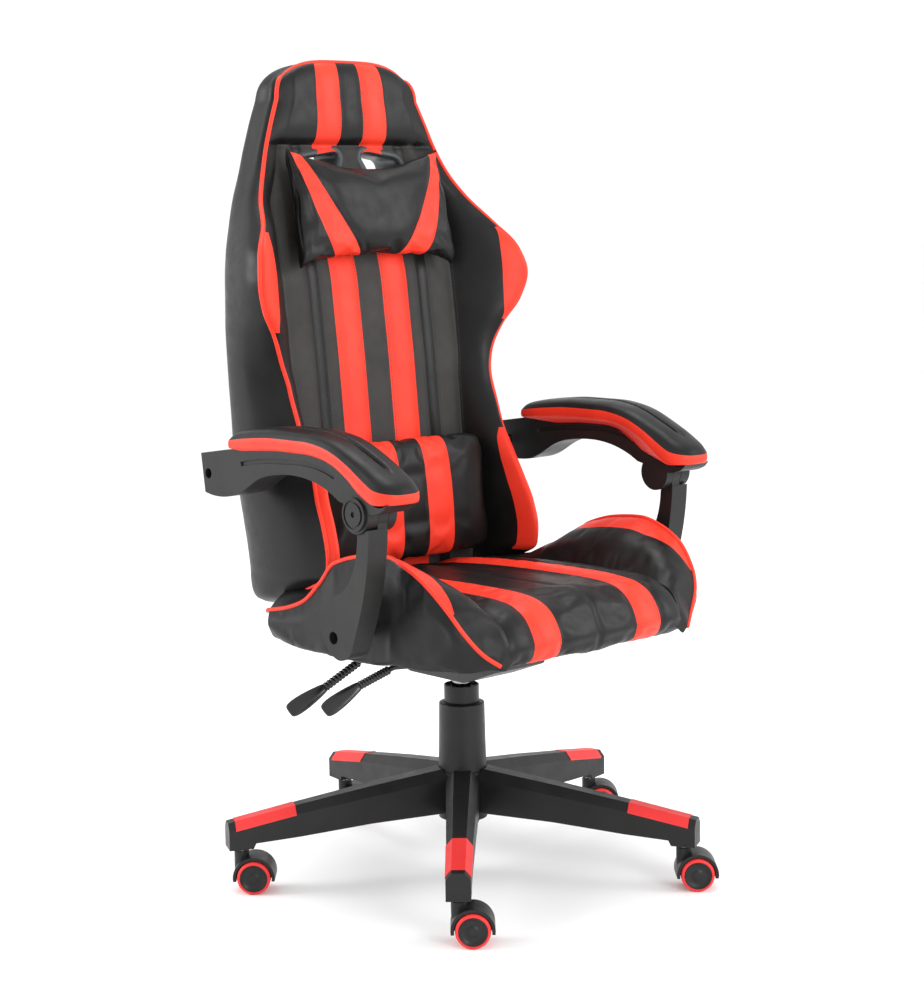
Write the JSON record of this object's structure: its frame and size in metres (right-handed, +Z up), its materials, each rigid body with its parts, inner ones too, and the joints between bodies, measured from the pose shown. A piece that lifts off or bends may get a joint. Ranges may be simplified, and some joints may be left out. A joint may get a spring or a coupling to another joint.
{
  "type": "gaming chair",
  "caption": "Racing-style swivel chair with winged high backrest, belt holes, head and lumbar pillows, linked padded armrests, gas lift and a star base on casters.",
  "frame": {"origin": "on the floor, on the axis of the gas lift and swivel", "axes": "+Z up; the chair faces -Y, so the sitter's right hand is towards -X"},
  "size_m": [0.7293, 0.7215, 1.233],
  "materials": {
    "black_nylon": "satin",
    "red_nylon": "satin",
    "wheel_nylon": "satin",
    "grey_plastic": "satin",
    "lever_plastic": "satin",
    "black_steel": "satin",
    "bright_steel": "satin",
    "zinc_steel": "satin",
    "chrome": "polished",
    "elastic_webbing": "matte",
    "black_leather": "satin",
    "red_leather": "satin",
    "charcoal_panel": "matte"
  },
  "bodies": {
    "base": {"star_base": "black_nylon", "leg_inserts": "red_nylon", "gas_cylinder": "black_steel", "lower_column_cover": "black_nylon", "upper_column_cover": "black_nylon"},
    "piston": {"piston_rod": "bright_steel", "thrust_bearing": "bright_steel"},
    "seat": {"gas_tube": "chrome", "mechanism_housing": "black_steel", "mechanism_plate": "black_steel", "recline_pin": "bright_steel", "recline_spring": "bright_steel", "lock_plates": "bright_steel", "seat_frame": "black_steel", "seat_webbing": "elastic_webbing", "seat_bolts": "zinc_steel", "seat_cushion": "black_leather", "seat_bolster_right": "black_leather", "seat_bolster_left": "black_leather"},
    "valve": {"valve_pin": "bright_steel"},
    "height_handle": {"height_lever": "black_steel", "height_lever_grip": "lever_plastic"},
    "recline_handle": {"recline_lever": "black_steel", "recline_lever_grip": "lever_plastic"},
    "backrest": {"back_carrier": "black_steel", "back_frame": "black_steel", "back_bolts": "zinc_steel", "back_cushion": "black_leather", "headrest_cushion": "black_leather", "back_wing_right": "black_leather", "back_wing_left": "black_leather", "belt_hole_trims": "grey_plastic"},
    "head_cushion": {"head_pillow": "black_leather", "head_pillow_strap": "elastic_webbing"},
    "lumbar_cushion": {"lumbar_pillow": "black_leather"},
    "right_post": {"arm_post_right": "grey_plastic"},
    "left_post": {"arm_post_left": "grey_plastic"},
    "right_arm": {"armrest_right": "grey_plastic", "arm_pad_right": "red_leather", "elbow_cap_right": "grey_plastic"},
    "left_arm": {"armrest_left": "grey_plastic", "arm_pad_left": "red_leather", "elbow_cap_left": "grey_plastic"},
    "caster_1": {"caster_hood_1": "black_nylon", "caster_pins_1": "bright_steel"},
    "wheels_1": {"caster_wheels_1": "wheel_nylon"},
    "caster_2": {"caster_hood_2": "black_nylon", "caster_pins_2": "bright_steel"},
    "wheels_2": {"caster_wheels_2": "wheel_nylon"},
    "caster_3": {"caster_hood_3": "black_nylon", "caster_pins_3": "bright_steel"},
    "wheels_3": {"caster_wheels_3": "wheel_nylon"},
    "caster_4": {"caster_hood_4": "black_nylon", "caster_pins_4": "bright_steel"},
    "wheels_4": {"caster_wheels_4": "wheel_nylon"},
    "caster_5": {"caster_hood_5": "black_nylon", "caster_pins_5": "bright_steel"},
    "wheels_5": {"caster_wheels_5": "wheel_nylon"}
  },
  "joints": [
    {"name": "seat_swivel", "type": "hinge", "parent": "base", "child": "piston", "pos_m": [0, 0, 0.1], "axis": [0, 0, 1], "continuous": true},
    {"name": "seat_height", "type": "slide", "parent": "piston", "child": "seat", "axis": [0, 0, 1], "range_m": [0, 0.08]},
    {"name": "height_handle_lift", "type": "hinge", "parent": "seat", "child": "height_handle", "pos_m": [-0.06, -0.018, 0.345], "axis": [0, 1, 0], "range_deg": [0, 3], "stiffness_Nm_per_rad": 8, "springref_deg": -8.59},
    {"name": "valve_press", "type": "slide", "parent": "seat", "child": "valve", "axis": [0, 0, -1], "range_m": [0, 0.0033]},
    {"name": "recline_handle_lift", "type": "hinge", "parent": "seat", "child": "recline_handle", "pos_m": [-0.082, -0.099, 0.352], "axis": [0, 1, 0], "range_deg": [0, 3], "stiffness_Nm_per_rad": 8, "springref_deg": -8.59},
    {"name": "backrest_recline", "type": "hinge", "parent": "seat", "child": "backrest", "pos_m": [0, 0.135, 0.35], "axis": [-1, 0, 0], "range_deg": [0, 30]},
    {"name": "head_cushion_slide", "type": "slide", "parent": "backrest", "child": "head_cushion", "axis": [0, 0.1908, 0.9816], "range_m": [-0.02, 0.016]},
    {"name": "lumbar_cushion_slide", "type": "slide", "parent": "backrest", "child": "lumbar_cushion", "axis": [0, 0.1045, 0.9945], "range_m": [0, 0.06]},
    {"name": "right_post_swing", "type": "hinge", "parent": "seat", "child": "right_post", "pos_m": [-0.3, -0.091, 0.419], "axis": [-1, 0, 0], "range_deg": [0, 41.5]},
    {"name": "right_arm_swing", "type": "hinge", "parent": "right_post", "child": "right_arm", "pos_m": [-0.292, -0.147, 0.597], "axis": [-1, 0, 0], "range_deg": [-31.5, 0]},
    {"name": "left_post_swing", "type": "hinge", "parent": "seat", "child": "left_post", "pos_m": [0.3, -0.091, 0.419], "axis": [-1, 0, 0], "range_deg": [0, 41.5]},
    {"name": "left_arm_swing", "type": "hinge", "parent": "left_post", "child": "left_arm", "pos_m": [0.292, -0.147, 0.597], "axis": [-1, 0, 0], "range_deg": [-31.5, 0]},
    {"name": "caster_swivel_1", "type": "hinge", "parent": "base", "child": "caster_1", "pos_m": [-0.23835, -0.24942, 0.06], "axis": [0, 0, 1], "continuous": true},
    {"name": "wheel_spin_1", "type": "hinge", "parent": "caster_1", "child": "wheels_1", "pos_m": [-0.22432, -0.26223, 0.025], "axis": [0.6743, 0.7385, 0], "continuous": true},
    {"name": "caster_swivel_2", "type": "hinge", "parent": "base", "child": "caster_2", "pos_m": [0.16356, -0.30377, 0.06], "axis": [0, 0, 1], "continuous": true},
    {"name": "wheel_spin_2", "type": "hinge", "parent": "caster_2", "child": "wheels_2", "pos_m": [0.17759, -0.31658, 0.025], "axis": [0.6743, 0.7385, 0], "continuous": true},
    {"name": "caster_swivel_3", "type": "hinge", "parent": "base", "child": "caster_3", "pos_m": [0.33944, 0.06169, 0.06], "axis": [0, 0, 1], "continuous": true},
    {"name": "wheel_spin_3", "type": "hinge", "parent": "caster_3", "child": "wheels_3", "pos_m": [0.35347, 0.04888, 0.025], "axis": [0.6743, 0.7385, 0], "continuous": true},
    {"name": "caster_swivel_4", "type": "hinge", "parent": "base", "child": "caster_4", "pos_m": [0.04623, 0.34189, 0.06], "axis": [0, 0, 1], "continuous": true},
    {"name": "wheel_spin_4", "type": "hinge", "parent": "caster_4", "child": "wheels_4", "pos_m": [0.06026, 0.32908, 0.025], "axis": [0.6743, 0.7385, 0], "continuous": true},
    {"name": "caster_swivel_5", "type": "hinge", "parent": "base", "child": "caster_5", "pos_m": [-0.31087, 0.14961, 0.06], "axis": [0, 0, 1], "continuous": true},
    {"name": "wheel_spin_5", "type": "hinge", "parent": "caster_5", "child": "wheels_5", "pos_m": [-0.29684, 0.1368, 0.025], "axis": [0.6743, 0.7385, 0], "continuous": true}
  ],
  "couplings": [
    {"joint": "valve_press", "follows": "height_handle_lift", "m_per_rad": 0.06},
    {"joint": "right_post_swing", "follows": "backrest_recline", "ratio": 1.3807},
    {"joint": "right_arm_swing", "follows": "backrest_recline", "ratio": -1.0497},
    {"joint": "left_post_swing", "follows": "backrest_recline", "ratio": 1.3807},
    {"joint": "left_arm_swing", "follows": "backrest_recline", "ratio": -1.0497}
  ]
}
